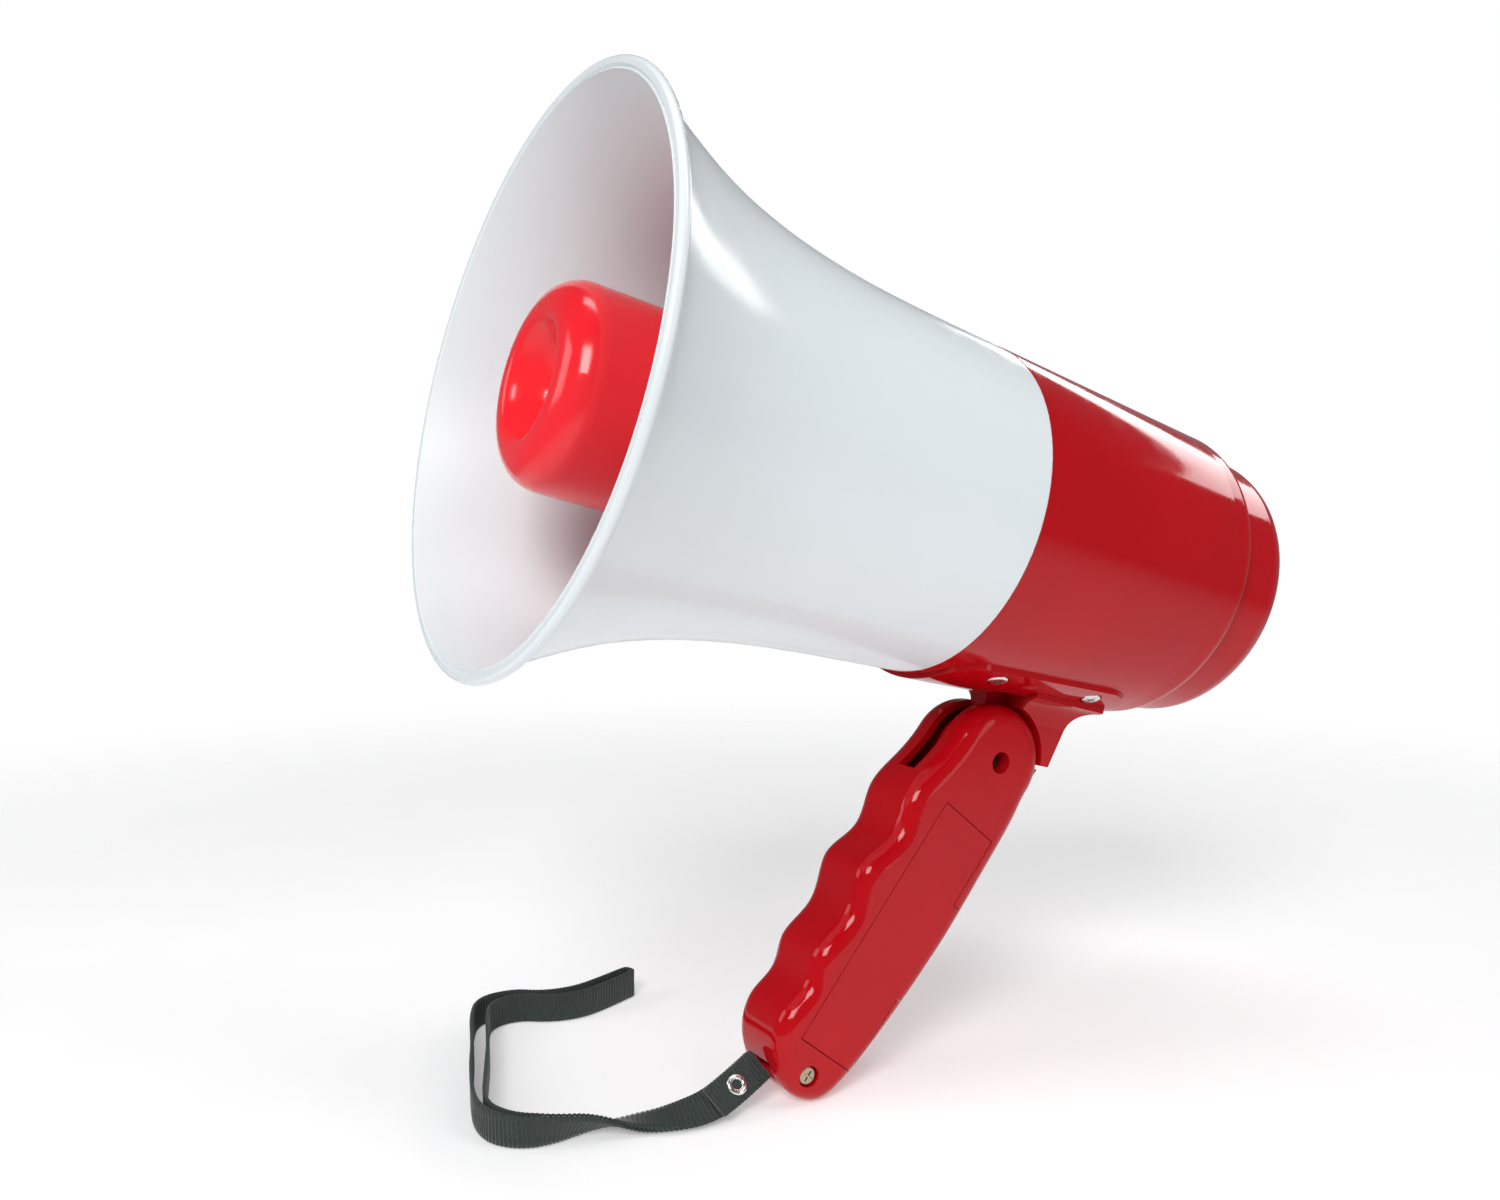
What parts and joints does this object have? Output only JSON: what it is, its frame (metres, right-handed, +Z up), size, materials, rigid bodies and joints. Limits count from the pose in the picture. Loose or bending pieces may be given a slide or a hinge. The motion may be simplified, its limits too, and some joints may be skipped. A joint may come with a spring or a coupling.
{
  "type": "handheld megaphone",
  "caption": "Handheld megaphone: white reflex horn with red cup, red driver housing with rear microphone panel, and a folding pistol grip with battery cover and wrist strap.",
  "frame": {"origin": "on the ground under the middle of the megaphone's bounding box, standing on the end of its handle", "axes": "+Z up, the horn's mouth faces -Y and a little up, +X towards the side that carries the battery cover"},
  "size_m": [0.1748, 0.266, 0.2796],
  "materials": {
    "horn_white": "gloss",
    "shell_red": "gloss",
    "knob_red": "gloss",
    "black_plastic": "matte",
    "black_rubber": "matte",
    "black_nylon": "satin",
    "diaphragm_film": "satin",
    "copper": "satin",
    "zinc_steel": "satin",
    "zinc_screw": "satin",
    "ferrite": "matte",
    "grille_black": "satin",
    "aluminium": "satin",
    "button_grey": "matte",
    "button_red": "matte",
    "led_green": "gloss",
    "board_green": "satin",
    "wire_red": "satin",
    "wire_black": "satin",
    "screw_bright": "polished",
    "screw_dark": "satin",
    "webbing": "woven",
    "nickel": "polished",
    "cell_wrap": "gloss"
  },
  "bodies": {
    "horn": {"horn_bell": "horn_white", "reflector_cup": "knob_red", "tone_tube": "knob_red", "throat_plate": "black_plastic", "throat_gasket": "black_rubber", "driver_frame": "black_plastic", "driver_diaphragm": "diaphragm_film", "driver_voice_coil": "copper", "driver_top_plate": "zinc_steel", "driver_magnet": "ferrite", "driver_yoke": "zinc_steel", "driver_screws": "zinc_screw", "housing_shell": "shell_red", "rear_cover": "shell_red", "rear_cover_screws": "zinc_screw", "control_panel": "black_plastic", "mic_grille": "grille_black", "mic_capsule": "aluminium", "mic_boot": "black_rubber", "volume_potentiometer": "zinc_steel", "button_switches": "black_plastic", "mode_slide_switch": "zinc_steel", "charging_jack": "black_plastic", "power_led": "led_green", "amplifier_board": "board_green", "heat_sink": "aluminium", "capacitors": "black_plastic", "output_transformer": "ferrite", "speaker_wires": "wire_red", "battery_lead": "wire_black", "saddle_bracket": "shell_red", "saddle_screws": "screw_bright"},
    "handle": {"handle_shell_right": "shell_red", "handle_shell_left": "shell_red", "pivot_bolt": "screw_dark", "pivot_nut": "zinc_steel", "pivot_washers": "black_nylon", "handle_screw": "screw_bright", "strap_pin": "zinc_steel", "strap_anchor_loop": "webbing", "battery_tray": "black_plastic", "battery_cell": "cell_wrap", "battery_contact_plate": "nickel", "battery_contact_spring": "nickel"},
    "battery_cover": {"battery_cover": "shell_red"},
    "volume_control": {"volume_knob": "black_plastic", "volume_shaft": "zinc_steel"},
    "talk_button": {"talk_button": "button_grey"},
    "record_button": {"record_button": "button_grey"},
    "siren_button": {"siren_button": "button_red"},
    "mode_slider": {"mode_slider": "button_grey"},
    "strap": {"strap_outer_leg": "webbing", "strap_inner_leg": "webbing", "strap_tail": "webbing", "strap_loop_end": "webbing", "strap_eyelet": "nickel"}
  },
  "joints": [
    {"name": "handle_fold", "type": "hinge", "parent": "horn", "child": "handle", "pos_m": [0, 0.03298, 0.09507], "axis": [-1, 0, 0], "range_deg": [0, 45]},
    {"name": "strap_swing", "type": "hinge", "parent": "handle", "child": "strap", "pos_m": [0, -0.0467, 0.0105], "axis": [-1, 0, 0], "range_deg": [-45, 0]},
    {"name": "battery_cover_slide", "type": "slide", "parent": "handle", "child": "battery_cover", "axis": [1, 0, 0], "range_m": [0, 0.025]},
    {"name": "volume_turn", "type": "hinge", "parent": "horn", "child": "volume_control", "pos_m": [0.0195, 0.11087, 0.14542], "axis": [0, 0.9703, -0.2419], "range_deg": [0, 300]},
    {"name": "talk_press", "type": "slide", "parent": "horn", "child": "talk_button", "axis": [0, -0.9703, 0.2419], "range_m": [0, 0.0012], "stiffness_N_per_m": 1500},
    {"name": "record_press", "type": "slide", "parent": "horn", "child": "record_button", "axis": [0, -0.9703, 0.2419], "range_m": [0, 0.0012], "stiffness_N_per_m": 1500},
    {"name": "siren_press", "type": "slide", "parent": "horn", "child": "siren_button", "axis": [0, -0.9703, 0.2419], "range_m": [0, 0.0012], "stiffness_N_per_m": 1500},
    {"name": "mode_slide", "type": "slide", "parent": "horn", "child": "mode_slider", "axis": [0, 0.2419, 0.9703], "range_m": [0, 0.003]}
  ],
  "couplings": [
    {"joint": "strap_swing", "follows": "handle_fold", "ratio": -1}
  ]
}
